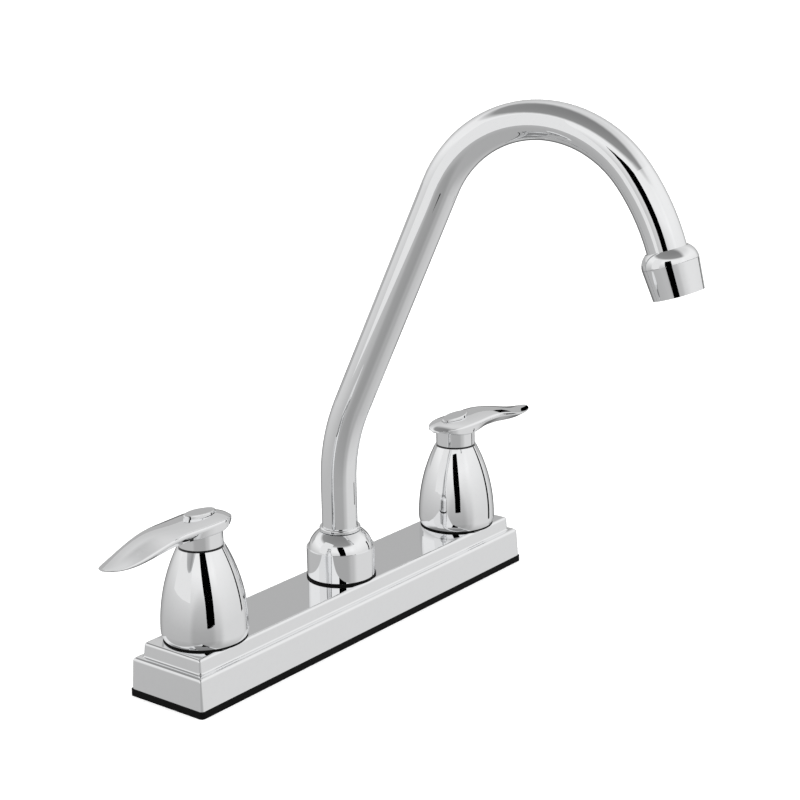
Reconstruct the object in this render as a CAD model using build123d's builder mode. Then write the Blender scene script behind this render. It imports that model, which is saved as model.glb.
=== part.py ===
from build123d import *
import math
import os

os.makedirs("parts", exist_ok=True)

# Two handle kitchen faucet for a sink deck, in millimetres.
# The origin is the centre of the gasket's underside. +X runs along the base to the cold side,
# +Y points to the wall and +Z up. The spout reaches forward, along -Y.
# The hot side is built in place and the cold side is its mirror image about the middle plane.

# ---- Driving dimensions ----

# Base: a gasket under a hollow cover in two tiers
handle_spread = 203.2      # between the two valve axes, the 8 inch fitting
base_overhang = 28.8       # from each valve axis to the base's end
base_depth = 48.4
base_corner = 2.0          # plan radius of the base's corners
gasket_thickness = 3.3
gasket_lip = 0.5           # how far the gasket shows past the cover
lower_tier = 16.1          # height of the cover's lower tier
upper_tier = 7.3
lower_draft = 1.0          # how far the lower tier's sides lean in
upper_draft = 0.7
ledge_round = 1.9          # rounded rim of the lower tier
ledge_flat = 0.5
ledge_cove = 1.0           # hollow fillet at the foot of the upper tier
top_round = 1.5
cover_wall = 2.2

# Valve body: threaded shank, foot on the gasket, barrel with its water chamber, neck
shank_radius = 10.4        # half inch pipe thread
shank_bore = 7.0
shank_tail = 18.0          # the free end, where the supply hose screws on
tail_chamfer = 0.8
relief_width = 1.2         # groove between the lock nut's thread and the hose's
relief_depth = 0.6
foot_radius = 15.0
foot_thickness = 4.0
barrel_radius = 13.5
neck_radius = 12.5
neck_height = 7.3          # above the cover
chamber_radius = 10.2
chamber_floor = 5.4        # above the gasket
chamber_height = 15.0
bonnet_radius = 10.5       # the wider, threaded mouth over the chamber

# Water way from each valve to the centre post
port_height = 11.4         # above the gasket
cross_radius = 6.0
cross_wall = 1.2
boss_radius = 8.5
boss_reach = 20.0          # from the valve or post axis to the boss's end
socket_depth = 7.5

# Deck fixing
deck_thickness = 12.0
washer_radius = 19.0
washer_thickness = 2.0
nut_flange_radius = 18.0
nut_flange = 3.0
nut_flats = 30.0
nut_height = 7.0
thread_spare = 1.2         # thread that shows below the lock nut

# Quarter turn cartridge
seal_thickness = 2.5
seal_bore = 5.5
disc_radius = 8.1
disc_thickness = 2.2
disc_gap = 0.05            # between the two lapped discs
port_inner = 2.4
port_outer = 6.6
port_span = 80.0           # degrees of each of a disc's two fan ports
shell_wall = 0.9           # the cartridge shell round the discs
shell_lift = 1.2           # shell's lower end above the chamber floor
driver_room = 6.0          # height over the turning disc, for the stem's fork
window_width = 8.0
window_height = 3.0
bonnet_flange_radius = 12.2
bonnet_flange = 2.5
bonnet_flats = 17.0
bonnet_hex = 7.5
sleeve_radius = 6.5
sleeve_height = 8.0

# Stem
stem_radius = 4.4
driver_radius = 5.6
driver_thickness = 2.3
stop_span = 50.0           # degrees of each of the driver's two stop lugs
stop_margin = 1.0          # degrees left at each end of the quarter turn
quarter_turn = 90.0
fork_inner = 3.2
fork_outer = 6.6
fork_span = 46.0
fork_depth = 1.1           # how far the fork's legs enter the turning disc
oring_thickness = 1.8
oring_drop = 5.5           # from the sleeve's top to the O-ring's middle
clip_thickness = 1.0
clip_radius = 6.2
clip_depth = 0.8
clip_mouth = 4.0
spline_radius = 4.0
spline_depth = 0.5
spline_teeth = 12
spline_length = 8.0
screw_radius = 1.9
screw_length = 14.0
screw_head_radius = 3.5
screw_head = 2.4

# Bell skirt and the glide ring on its top
belly_radius = 21.3
belly_rise = 5.3           # the widest point above the cover
foot_curve = 10.0          # radius of the turned-in foot
bell_height = 46.2
bell_top_radius = 11.5
bell_wall = 2.0
bell_floor = 2.5
ring_radius = 10.7
ring_thickness = 0.7
ring_spigot = 2.7

# Lever
lever_length = 65.6        # from the stem's axis to the tip
lever_toe = 2.5            # degrees that the lever points forward of straight out
head_radius = 12.0         # half width of the lever at the head
head_setback = 1.0         # the head's widest place behind the stem's axis
head_back = 17.0           # from there to the lever's back end
head_drop = 5.0            # from the crown down to the back end
blade_radius = 12.6        # half width of the blade before it tapers
blend_start = 2.0          # along the lever, where the head begins to narrow
blend_end = 18.0
droop_start = 21.0         # where the crown begins to fall towards the tip
crown_height = 14.7        # over the collar's foot, at the head
tip_height = 7.6
head_depth = 9.0            # from the crown down to the keel
blade_depth = 9.4
tip_depth = 0.8
taper_power = 3.3          # how late the blade narrows towards its tip
crown_fall = 0.2           # from the crown to the rim, over the half width
head_keel_share = 0.98     # width of the keel over the full width
blade_keel_share = 0.56
keel_bulge = 0.12          # of the keel, over the half width
rim_softness = 0.3         # fillet at the rim, over the side's height
keel_softness = 0.25
lever_stations = 10        # cross sections from the head to the tip
head_stations = 5          # cross sections from the head to the back end
last_station = 82.0        # degrees of the quarter turn that spaces the sections
collar_radius = 10.8
collar_wall = 1.7
collar_ceiling = 6.3       # inside, over the collar's foot
hub_radius = 6.5           # the lever's inner hub, which runs in the glide ring
hub_drop = 2.0
cap_length = 20.0
cap_width = 10.0
cap_thickness = 2.0
cap_height = 16.0          # top of the cap over the collar's foot, at the stem's axis
cap_tilt = 4.0             # degrees, rising outwards
cap_plug = 1.2             # the plug's margin inside the cap's rim
cap_plug_depth = 1.6
oval_end = 0.6             # radius of the cap's ends over its half width

# Centre post and hub nut
post_radius = 13.5
post_neck_radius = 13.0
post_neck_height = 13.0    # above the cover
post_bore = 10.3
post_floor = 6.0           # above the gasket
hub_nut_radius = 17.8
hub_nut_height = 16.1
hub_nut_step = 0.9
dome_height = 8.7
dome_top_radius = 11.0
dome_bulge = 1.1           # of the dome's side over a straight cone

# Spout: a gooseneck tube in an upright plane
tube_radius = 9.25
tube_wall = 0.9
spout_turn = 8.26          # degrees that the spout points to the cold side of straight forward
riser_top = 77.6
lean_radius = 98.8
lean_angle = 24.9
climb_length = 126.6
arch_radius = 57.9
arch_angle = 118.5
drop_radius = 106.0
drop_angle = 19.5
ferrule_length = 20.1      # below its flange, inside the post
ferrule_flange_radius = 11.8
ferrule_flange = 2.5
ferrule_wall = 2.2
tube_insert = 11.0         # length of the tube inside the ferrule, below its flange
oring_radius = 0.6
oring_pitch = 3.5
bead_width = 1.4
bead_height = 2.4

# Nozzle at the tip
tip_insert = 5.0           # length of the tube inside the fitting
shoulder_length = 6.5
shoulder_curve = 8.2
ridge_radius = 13.2
nozzle_thread_radius = 10.6
nozzle_thread = 7.0
nozzle_bore = 8.0
housing_length = 14.5
housing_end_radius = 11.9
housing_lip = 1.0
housing_mouth = 9.2
tip_washer = 1.4
insert_height = 5.0
insert_wall = 1.0
insert_floor = 1.5
jet_radius = 0.8
jet_rings = ((3.2, 6), (6.4, 12))   # radius and number of the jets in each ring

# Named clearances
slide = 0.1                # between pieces that slide or turn on each other, and in threads
seat_gap = 0.1             # over a moving piece's face
oring_fit = 0.05
cover_fit = 0.3            # cover and gasket holes round the brass
joint_gap = 0.1            # assembly gap between fixed pieces
cap_fit = 0.3

# ---- Worked out from the driving dimensions ----

valve_x = -handle_spread / 2                    # the hot valve's axis
base_length = handle_spread + 2 * base_overhang
gasket_top = gasket_thickness
ledge_top = gasket_top + lower_tier
cover_top = ledge_top + upper_tier
cover_ceiling = cover_top - cover_wall
foot_inset = lower_draft + ledge_round + ledge_flat + ledge_cove
cover_length = base_length - 2 * gasket_lip
cover_depth = base_depth - 2 * gasket_lip

water_floor = gasket_top + chamber_floor
chamber_top = water_floor + chamber_height
neck_top = cover_top + neck_height
port_z = gasket_top + port_height
washer_top = -deck_thickness
lock_nut_top = washer_top - washer_thickness
lock_nut_bottom = lock_nut_top - nut_flange - nut_height
relief_top = lock_nut_bottom - thread_spare
relief_bottom = relief_top - relief_width
shank_bottom = relief_bottom - shank_tail - tail_chamfer

fixed_disc_bottom = water_floor + seal_thickness
moving_disc_bottom = fixed_disc_bottom + disc_thickness + disc_gap
moving_disc_top = moving_disc_bottom + disc_thickness
driver_ceiling = moving_disc_top + driver_room
driver_top = driver_ceiling - seat_gap
driver_bottom = driver_top - driver_thickness
shell_bore = disc_radius + slide
shell_radius = shell_bore + shell_wall
stop_rib_span = quarter_turn - stop_span - 2 * stop_margin
hex_bottom = neck_top + bonnet_flange
sleeve_bottom = hex_bottom + bonnet_hex
sleeve_top = sleeve_bottom + sleeve_height
oring_z = sleeve_top - oring_drop
clip_bottom = sleeve_top + seat_gap

bell_top = cover_top + bell_height
belly_z = cover_top + belly_rise
bell_side_rise = bell_top - belly_z
bell_side_draw = belly_radius - bell_top_radius
bell_side_radius = (bell_side_rise**2 + bell_side_draw**2) / (2 * bell_side_draw)
ring_top = bell_top + ring_thickness
lever_foot = ring_top + seat_gap
stem_shoulder = lever_foot - hub_drop
stem_top = stem_shoulder + spline_length
screw_seat = lever_foot + crown_height - cap_thickness - cap_plug_depth - screw_head
hot_axis = Axis((valve_x, 0, 0), (0, 0, 1))
hot_section = Plane(origin=(valve_x, 0, 0), x_dir=(1, 0, 0), z_dir=(0, -1, 0))

post_top = cover_top + post_neck_height
ferrule_flange_bottom = post_top + seat_gap
ferrule_flange_top = ferrule_flange_bottom + ferrule_flange
ferrule_bottom = ferrule_flange_bottom - ferrule_length
tube_foot = ferrule_flange_bottom - tube_insert
hub_nut_shoulder = cover_top + hub_nut_height
hub_nut_top = hub_nut_shoulder + dome_height
bead_bottom = hub_nut_top + seat_gap
post_section = Plane.XZ

forward = Vector(math.sin(math.radians(spout_turn)), -math.cos(math.radians(spout_turn)), 0)
spout_plane = Plane(origin=(0, 0, 0), x_dir=forward, z_dir=forward.cross(Vector(0, 0, 1)))


def level(height, centre_x=0.0):
    """A horizontal plane over a vertical axis at centre_x."""
    return Plane(origin=(centre_x, 0, height))


def save(piece, name):
    """Names one finished piece and writes it."""
    piece.part.label = name
    export_step(piece.part, f"parts/{name}.step")


def save_pair(piece, name):
    """Writes a piece of the hot side and its mirror image for the cold side."""
    save(piece, f"hot_{name}")
    with BuildPart() as twin:
        mirror(piece.part, about=Plane.YZ)
    save(twin, f"cold_{name}")


def fan(inner, outer, centre, span):
    """A sector of a ring, given by its two radii and its middle angle and span in degrees."""
    with BuildSketch() as sector:
        with BuildLine():
            near = CenterArc((0, 0), inner, centre - span / 2, span)
            far = CenterArc((0, 0), outer, centre - span / 2, span)
            Line(near @ 0, far @ 0)
            Line(near @ 1, far @ 1)
        make_face()
    return sector.sketch


def oval(half_length, half_width):
    """A smooth oval of four arcs: a tight one round each end and a wide one along each side."""
    tight = half_width * oval_end
    wide = ((half_length - tight) ** 2 + half_width**2 - tight**2) / (2 * (half_width - tight))
    turn = math.degrees(math.atan2(wide - half_width, half_length - tight))
    with BuildSketch() as outline:
        with BuildLine():
            end = JernArc((half_length, 0), (0, 1), tight, turn)
            side = JernArc(end @ 1, end % 1, wide, 180 - 2 * turn)
            JernArc(side @ 1, side % 1, tight, turn)
            mirror(about=Plane.XZ)
        make_face()
    return outline.sketch


def spline_outline(clearance):
    """The toothed outline at the top of the stem, grown by a clearance for its socket."""
    tooth_width = math.pi * spline_radius / spline_teeth
    with BuildSketch() as outline:
        Circle(spline_radius - spline_depth + clearance)
        with PolarLocations(spline_radius - spline_depth, spline_teeth):
            Rectangle(2 * (spline_depth + clearance), tooth_width + 2 * clearance)
    return outline.sketch


# ---- Base ----

with BuildPart() as base_gasket:
    with BuildSketch():
        RectangleRounded(base_length, base_depth, base_corner)
        with Locations((-valve_x, 0), (valve_x, 0)):
            Circle(shank_radius + cover_fit, mode=Mode.SUBTRACT)
    extrude(amount=gasket_thickness)
save(base_gasket, "base_gasket")


def cover_tiers(shrink, ceiling_drop, mode):
    """Both drafted tiers of the cover, drawn in by shrink and lowered by ceiling_drop."""
    tiers = (
        (gasket_top, lower_tier - ceiling_drop, 0.0, lower_draft),
        (ledge_top - ceiling_drop, upper_tier, foot_inset, upper_draft),
    )
    for bottom, height, inset, draft in tiers:
        drawn_in = 2 * (inset + shrink)
        with BuildSketch(level(bottom)) as tier:
            RectangleRounded(cover_length - drawn_in, cover_depth - drawn_in, base_corner)
        lean = math.degrees(math.atan(draft / height))
        extrude(tier.sketch, amount=height, taper=lean, mode=mode)


with BuildPart() as base_cover:
    cover_tiers(0.0, 0.0, Mode.ADD)
    ledge_ring, roof = base_cover.faces().filter_by(Plane.XY).sort_by(Axis.Z)[-2:]
    fillet(roof.edges(), top_round)
    fillet(ledge_ring.inner_wires()[0].edges(), ledge_cove)
    ledge_ring = base_cover.faces().filter_by(Plane.XY).sort_by(Axis.Z)[-2]
    fillet(ledge_ring.outer_wire().edges(), ledge_round)
    cover_tiers(cover_wall, cover_wall, Mode.SUBTRACT)
    with BuildSketch(level(cover_top)):
        with Locations((-valve_x, 0), (valve_x, 0)):
            Circle(neck_radius + cover_fit)
        Circle(post_neck_radius + cover_fit)
    extrude(amount=-2 * cover_wall, mode=Mode.SUBTRACT)
save(base_cover, "base_cover")

# ---- Valve bodies, cross tubes and deck fixing ----


def boss_and_port(centre_x, towards, wet_radius):
    """A round boss along X on a brass body, with its socket for a cross tube and its port."""
    side = Plane(origin=(centre_x, 0, port_z), x_dir=(0, towards, 0), z_dir=(towards, 0, 0))
    with BuildSketch(side) as boss:
        Circle(boss_radius)
    extrude(boss.sketch, amount=boss_reach)
    with BuildSketch(side.offset(boss_reach - socket_depth)) as socket:
        Circle(cross_radius + joint_gap)
    extrude(socket.sketch, amount=socket_depth, mode=Mode.SUBTRACT)
    with BuildSketch(side.offset(wet_radius / 2)) as port:
        Circle(cross_radius - cross_wall)
    extrude(port.sketch, amount=boss_reach - wet_radius / 2, mode=Mode.SUBTRACT)


def bore(height, centre_x, radius, depth):
    """A vertical round hole, cut downwards from height."""
    with BuildSketch(level(height, centre_x)) as hole:
        Circle(radius)
    extrude(hole.sketch, amount=-depth, mode=Mode.SUBTRACT)


with BuildPart() as valve_body:
    with BuildSketch(hot_section):
        with BuildLine():
            Polyline(
                (0, shank_bottom),
                (shank_radius - tail_chamfer, shank_bottom),
                (shank_radius, shank_bottom + tail_chamfer),
                (shank_radius, relief_bottom),
                (shank_radius - relief_depth, relief_bottom),
                (shank_radius - relief_depth, relief_top),
                (shank_radius, relief_top),
                (shank_radius, gasket_top),
                (foot_radius, gasket_top),
                (foot_radius, gasket_top + foot_thickness),
                (barrel_radius, gasket_top + foot_thickness),
                (barrel_radius, cover_ceiling),
                (neck_radius, cover_ceiling),
                (neck_radius, neck_top),
                (0, neck_top),
                close=True,
            )
        make_face()
    revolve(axis=hot_axis)
    boss_and_port(valve_x, 1, chamber_radius)
    bore(neck_top, valve_x, bonnet_radius, neck_top - chamber_top)
    bore(chamber_top, valve_x, chamber_radius, chamber_height)
    bore(water_floor, valve_x, shank_bore, water_floor - shank_bottom)
save_pair(valve_body, "valve_body")

with BuildPart() as cross_tube:
    tube_start = valve_x + boss_reach - socket_depth + joint_gap
    tube_end = -boss_reach + socket_depth - joint_gap
    with BuildSketch(Plane(origin=(tube_start, 0, port_z), x_dir=(0, 1, 0), z_dir=(1, 0, 0))):
        Circle(cross_radius)
        Circle(cross_radius - cross_wall, mode=Mode.SUBTRACT)
    extrude(amount=tube_end - tube_start)
save_pair(cross_tube, "cross_tube")

with BuildPart() as deck_washer:
    with BuildSketch(level(lock_nut_top, valve_x)):
        Circle(washer_radius)
        Circle(shank_radius + cover_fit, mode=Mode.SUBTRACT)
    extrude(amount=washer_thickness)
save_pair(deck_washer, "deck_washer")

with BuildPart() as lock_nut:
    with BuildSketch(level(lock_nut_bottom, valve_x)):
        RegularPolygon(nut_flats / 2, 6, major_radius=False)
    extrude(amount=nut_height)
    with BuildSketch(level(lock_nut_bottom + nut_height, valve_x)):
        Circle(nut_flange_radius)
    extrude(amount=nut_flange)
    bore(lock_nut_top, valve_x, shank_radius + slide, nut_height + nut_flange)
save_pair(lock_nut, "lock_nut")

# ---- Quarter turn cartridge ----

with BuildPart() as seat_seal:
    with BuildSketch(level(water_floor, valve_x)):
        Circle(disc_radius)
        Circle(seal_bore, mode=Mode.SUBTRACT)
    extrude(amount=seal_thickness)
save_pair(seat_seal, "seat_seal")


def disc_blank(bottom, first_port):
    """A ceramic disc with two opposite fan ports, the first at the given angle."""
    with BuildSketch(level(bottom, valve_x)) as blank:
        Circle(disc_radius)
        for turn in (first_port, first_port + 180):
            add(fan(port_inner, port_outer, turn, port_span), mode=Mode.SUBTRACT)
    extrude(blank.sketch, amount=disc_thickness)


with BuildPart() as fixed_disc:
    disc_blank(fixed_disc_bottom, 0.0)
save_pair(fixed_disc, "fixed_disc")

with BuildPart() as moving_disc:
    disc_blank(moving_disc_bottom, quarter_turn)
    with BuildSketch(level(moving_disc_top, valve_x)):
        for turn in (0.0, 180.0):
            add(fan(fork_inner - slide, fork_outer + slide, turn, fork_span + 4 * stop_margin))
    extrude(amount=-fork_depth - slide, mode=Mode.SUBTRACT)
save_pair(moving_disc, "moving_disc")

with BuildPart() as cartridge_housing:
    with BuildSketch(hot_section):
        with BuildLine():
            Polyline(
                (stem_radius + slide, driver_ceiling),
                (shell_bore, driver_ceiling),
                (shell_bore, water_floor + shell_lift),
                (shell_radius, water_floor + shell_lift),
                (shell_radius, chamber_top + joint_gap),
                (bonnet_radius - joint_gap, chamber_top + joint_gap),
                (bonnet_radius - joint_gap, neck_top),
                (bonnet_flange_radius, neck_top),
                (bonnet_flange_radius, hex_bottom),
                (sleeve_radius, hex_bottom),
                (sleeve_radius, sleeve_top),
                (stem_radius + slide, sleeve_top),
                close=True,
            )
        make_face()
    revolve(axis=hot_axis)
    with BuildSketch(level(hex_bottom, valve_x)):
        RegularPolygon(bonnet_flats / 2, 6, major_radius=False)
        Circle(stem_radius + slide, mode=Mode.SUBTRACT)
    extrude(amount=bonnet_hex)
    with BuildSketch(level(driver_ceiling, valve_x)):
        for turn in (quarter_turn * 1.5, quarter_turn * 1.5 + 180):
            add(fan(driver_radius + slide, shell_bore + shell_wall / 2, turn, stop_rib_span))
    extrude(amount=-driver_thickness - seat_gap)
    with BuildSketch(level(moving_disc_top, valve_x)):
        Rectangle(window_width, 2 * chamber_radius)
        Rectangle(window_width, 2 * (driver_radius + slide), mode=Mode.SUBTRACT)
    extrude(amount=window_height, mode=Mode.SUBTRACT)
save_pair(cartridge_housing, "cartridge_housing")

# ---- Stem and what it carries ----

with BuildPart() as stem:
    with BuildSketch(level(driver_bottom, valve_x)):
        Circle(driver_radius)
        for turn in (0.0, 180.0):
            add(fan(driver_radius / 2, disc_radius - slide, turn, stop_span))
    extrude(amount=driver_thickness)
    with BuildSketch(level(moving_disc_top - fork_depth, valve_x)):
        for turn in (0.0, 180.0):
            add(fan(fork_inner, fork_outer, turn, fork_span))
    extrude(amount=driver_bottom - moving_disc_top + fork_depth)
    with BuildSketch(level(driver_top, valve_x)):
        Circle(stem_radius)
    extrude(amount=stem_shoulder - driver_top)
    with BuildSketch(level(stem_shoulder, valve_x)):
        add(spline_outline(0.0))
    extrude(amount=spline_length)
    for groove_bottom, groove_height, groove_depth in (
        (oring_z - oring_thickness / 2, oring_thickness, oring_thickness / 2),
        (clip_bottom, clip_thickness + slide, clip_depth),
    ):
        with BuildSketch(level(groove_bottom, valve_x)):
            Circle(stem_radius + slide)
            Circle(stem_radius - groove_depth, mode=Mode.SUBTRACT)
        extrude(amount=groove_height, mode=Mode.SUBTRACT)
    bore(stem_top, valve_x, screw_radius + joint_gap, screw_length)
save_pair(stem, "stem")

with BuildPart() as stem_oring:
    with BuildSketch(hot_section):
        with Locations((stem_radius - oring_thickness / 4 + oring_fit, oring_z)):
            RectangleRounded(oring_thickness / 2, oring_thickness - slide, oring_thickness / 5)
    revolve(axis=hot_axis)
save_pair(stem_oring, "stem_oring")

with BuildPart() as stem_clip:
    with BuildSketch(level(clip_bottom, valve_x)):
        Circle(clip_radius)
        Circle(stem_radius - clip_depth + joint_gap, mode=Mode.SUBTRACT)
        with Locations((0, -clip_radius)):
            Rectangle(clip_mouth, 2 * clip_radius, mode=Mode.SUBTRACT)
    extrude(amount=clip_thickness)
save_pair(stem_clip, "stem_clip")

# ---- Bell skirt and glide ring ----


def bell_solid(inward, mode):
    """The body of revolution under the side line."""
    with BuildSketch(hot_section) as outline:
        with BuildLine():
            side = bell_side_radius - inward
            curve = foot_curve - inward
            foot_rise = belly_rise - (bell_floor if inward else 0.0)
            belly = (belly_radius - inward, belly_z)
            upper = JernArc(belly, (0, 1), side, math.degrees(math.asin(bell_side_rise / side)))
            lower = JernArc(belly, (0, -1), curve, -math.degrees(math.asin(foot_rise / curve)))
            Line(upper @ 1, (0, bell_top))
            Line((0, bell_top), (0, belly_z - foot_rise))
            Line((0, belly_z - foot_rise), lower @ 1)
        make_face()
    revolve(outline.sketch, axis=hot_axis, mode=mode)


with BuildPart() as bell:
    bell_solid(0.0, Mode.ADD)
    bell_solid(bell_wall, Mode.SUBTRACT)
    bore(cover_top + bell_floor, valve_x, neck_radius + joint_gap, bell_floor)
save_pair(bell, "bell")

bell_mouth = belly_radius - bell_side_radius + math.sqrt(
    (bell_side_radius - bell_wall) ** 2 - bell_side_rise**2
)

with BuildPart() as glide_ring:
    with BuildSketch(level(bell_top, valve_x)):
        Circle(ring_radius)
    extrude(amount=ring_thickness)
    with BuildSketch(level(bell_top, valve_x)):
        Circle(bell_mouth - joint_gap)
    extrude(amount=-ring_spigot)
    bore(ring_top, valve_x, hub_radius + slide, ring_thickness + ring_spigot)
save_pair(glide_ring, "glide_ring")

# ---- Lever ----

toe = math.radians(lever_toe)
outward = Vector(-math.cos(toe), -math.sin(toe), 0)
across = Vector(0, 0, 1).cross(outward)


def lever_plane(reach):
    """The upright cross plane at a distance along the lever, its x across and its y up."""
    return Plane(origin=Vector(valve_x, 0, 0) + outward * reach, x_dir=across, z_dir=outward)


def ease(value, start, end):
    """1 up to start, 0 from end on, with a cosine between them."""
    share = min(max((value - start) / (end - start), 0.0), 1.0)
    return (1 + math.cos(math.pi * share)) / 2


def lever_section(reach):
    """One section of the leaf-shaped lever: crowned top, soft rim, sloping sides, soft keel."""
    head = ease(reach, blend_start, blend_end)
    behind = max(-head_setback - reach, 0.0) / head_back
    ahead = max(reach, 0.0) / lever_length
    rounding = math.sqrt(1 - behind**2)
    taper = rounding * math.sqrt(1 - ahead**taper_power)
    half = taper * (blade_radius + (head_radius - blade_radius) * head)
    keel_half = half * (blade_keel_share + (head_keel_share - blade_keel_share) * head)
    droop = (crown_height - tip_height) * (1 - ease(reach, droop_start, lever_length))
    crown = lever_foot + crown_height - droop - head_drop * (1 - rounding)
    depth = tip_depth + taper**2 * (blade_depth + (head_depth - blade_depth) * head - tip_depth)
    rim = crown - crown_fall * half
    keel = crown - depth
    belly = keel + keel_bulge * half
    with BuildSketch() as section:
        with BuildLine():
            ThreePointArc((-half, rim), (0, crown), (half, rim))
            Line((half, rim), (keel_half, belly))
            ThreePointArc((keel_half, belly), (0, keel), (-keel_half, belly))
            Line((-keel_half, belly), (-half, rim))
        make_face()
        corners = section.vertices().group_by(Axis.Y)
        fillet(corners[-1], rim_softness * (rim - belly))
        corners = section.vertices().group_by(Axis.Y)
        fillet(corners[0], keel_softness * (rim - belly))
    return section.sketch


def station_reach(length, share):
    """How far out a section lies: the sections come closer together towards the end."""
    return length * math.sin(math.radians(last_station * share))


section_reaches = [
    -head_setback - station_reach(head_back, station / head_stations)
    for station in range(head_stations, -1, -1)
]
section_reaches += [
    station_reach(lever_length, station / lever_stations)
    for station in range(1, lever_stations + 1)
]
cap_seat = Plane(
    origin=(valve_x, 0, lever_foot + cap_height - cap_thickness),
    x_dir=outward.rotate(Axis((0, 0, 0), across), -cap_tilt),
    z_dir=Vector(0, 0, 1).rotate(Axis((0, 0, 0), across), -cap_tilt),
)

with BuildPart() as lever:
    for reach in section_reaches:
        with BuildSketch(lever_plane(reach)):
            add(lever_section(reach))
    loft()
    with BuildSketch(level(lever_foot, valve_x)):
        Circle(collar_radius)
    extrude(amount=crown_height - head_depth / 2)
    with BuildSketch(level(lever_foot, valve_x)):
        Circle(collar_radius - collar_wall)
    extrude(amount=collar_ceiling, mode=Mode.SUBTRACT)
    with BuildSketch(level(stem_shoulder, valve_x)):
        Circle(hub_radius)
    extrude(amount=collar_ceiling + hub_drop)
    with BuildSketch(level(stem_shoulder, valve_x)):
        add(spline_outline(joint_gap))
    extrude(amount=spline_length + joint_gap, mode=Mode.SUBTRACT)
    with BuildSketch(cap_seat):
        add(oval(cap_length / 2 + cap_fit, cap_width / 2 + cap_fit))
    extrude(amount=2 * cap_thickness, mode=Mode.SUBTRACT)
    with BuildSketch(cap_seat):
        add(oval(cap_length / 2 - cap_plug + cap_fit, cap_width / 2 - cap_plug + cap_fit))
    extrude(amount=-cap_plug_depth - joint_gap, mode=Mode.SUBTRACT)
    bore(lever_foot + crown_height, valve_x, screw_radius + cover_fit, crown_height)
    bore(lever_foot + crown_height, valve_x, screw_head_radius + cap_fit,
         lever_foot + crown_height - screw_seat)
save_pair(lever, "lever")

with BuildPart() as lever_screw:
    with BuildSketch(level(screw_seat, valve_x)):
        Circle(screw_head_radius)
    extrude(amount=screw_head)
    with BuildSketch(level(screw_seat, valve_x)):
        Circle(screw_radius)
    extrude(amount=-screw_length)
save_pair(lever_screw, "lever_screw")

with BuildPart() as lever_cap:
    with BuildSketch(cap_seat):
        add(oval(cap_length / 2, cap_width / 2))
    extrude(amount=cap_thickness)
    fillet(lever_cap.faces().sort_by(Axis.Z)[-1].edges(), cap_thickness / 3)
    with BuildSketch(cap_seat):
        add(oval(cap_length / 2 - cap_plug, cap_width / 2 - cap_plug))
    extrude(amount=-cap_plug_depth)
save_pair(lever_cap, "lever_cap")

# ---- Centre post and hub nut ----

with BuildPart() as spout_post:
    with BuildSketch(level(gasket_top)):
        Circle(post_radius)
    extrude(amount=cover_ceiling - gasket_top)
    with BuildSketch(level(cover_ceiling)):
        Circle(post_neck_radius)
    extrude(amount=post_top - cover_ceiling)
    boss_and_port(0.0, 1, post_bore)
    boss_and_port(0.0, -1, post_bore)
    bore(post_top, 0.0, post_bore, post_top - gasket_top - post_floor)
save(spout_post, "spout_post")

with BuildPart() as spout_nut:
    with BuildSketch(post_section):
        with BuildLine():
            dome_foot = hub_nut_radius - hub_nut_step
            dome_draw = dome_foot - dome_top_radius
            dome_side = math.hypot(dome_draw, dome_height)
            dome_middle = (
                (dome_foot + dome_top_radius) / 2 + dome_bulge * dome_height / dome_side,
                hub_nut_shoulder + dome_height / 2 + dome_bulge * dome_draw / dome_side,
            )
            ThreePointArc((dome_foot, hub_nut_shoulder), dome_middle, (dome_top_radius, hub_nut_top))
            Polyline(
                (dome_top_radius, hub_nut_top),
                (tube_radius + cover_fit, hub_nut_top),
                (tube_radius + cover_fit, ferrule_flange_top + seat_gap),
                (post_neck_radius + slide, ferrule_flange_top + seat_gap),
                (post_neck_radius + slide, cover_top),
                (hub_nut_radius, cover_top),
                (hub_nut_radius, hub_nut_shoulder),
                (dome_foot, hub_nut_shoulder),
            )
        make_face()
    revolve(axis=Axis.Z)
save(spout_nut, "spout_nut")

# ---- Spout ----

with BuildPart() as spout_tube:
    with BuildLine(spout_plane) as spout_path:
        riser = Line((0, tube_foot), (0, riser_top))
        lean = JernArc(riser @ 1, riser % 1, lean_radius, -lean_angle)
        climb = Line(lean @ 1, (lean @ 1) + (lean % 1) * climb_length)
        arch = JernArc(climb @ 1, climb % 1, arch_radius, -arch_angle)
        drop = JernArc(arch @ 1, arch % 1, drop_radius, -drop_angle)
        tip = Line(drop @ 1, (drop @ 1) + (drop % 1) * tip_insert)
    with BuildSketch(level(tube_foot)):
        Circle(tube_radius)
        Circle(tube_radius - tube_wall, mode=Mode.SUBTRACT)
    sweep(path=spout_path.line)
save(spout_tube, "spout_tube")

with BuildPart() as spout_ferrule:
    with BuildSketch(post_section):
        with BuildLine():
            Polyline(
                (tube_radius - ferrule_wall + slide, ferrule_bottom),
                (post_bore - slide, ferrule_bottom),
                (post_bore - slide, ferrule_flange_bottom),
                (ferrule_flange_radius, ferrule_flange_bottom),
                (ferrule_flange_radius, ferrule_flange_top),
                (tube_radius + joint_gap / 2, ferrule_flange_top),
                (tube_radius + joint_gap / 2, tube_foot),
                (tube_radius - ferrule_wall + slide, tube_foot),
                close=True,
            )
        make_face()
        with Locations(
            (post_bore, ferrule_bottom + oring_pitch / 2),
            (post_bore, ferrule_bottom + oring_pitch * 1.5),
        ):
            Rectangle(4 * (oring_radius + oring_fit), 3 * oring_radius, mode=Mode.SUBTRACT)
    revolve(axis=Axis.Z)
save(spout_ferrule, "spout_ferrule")

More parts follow.
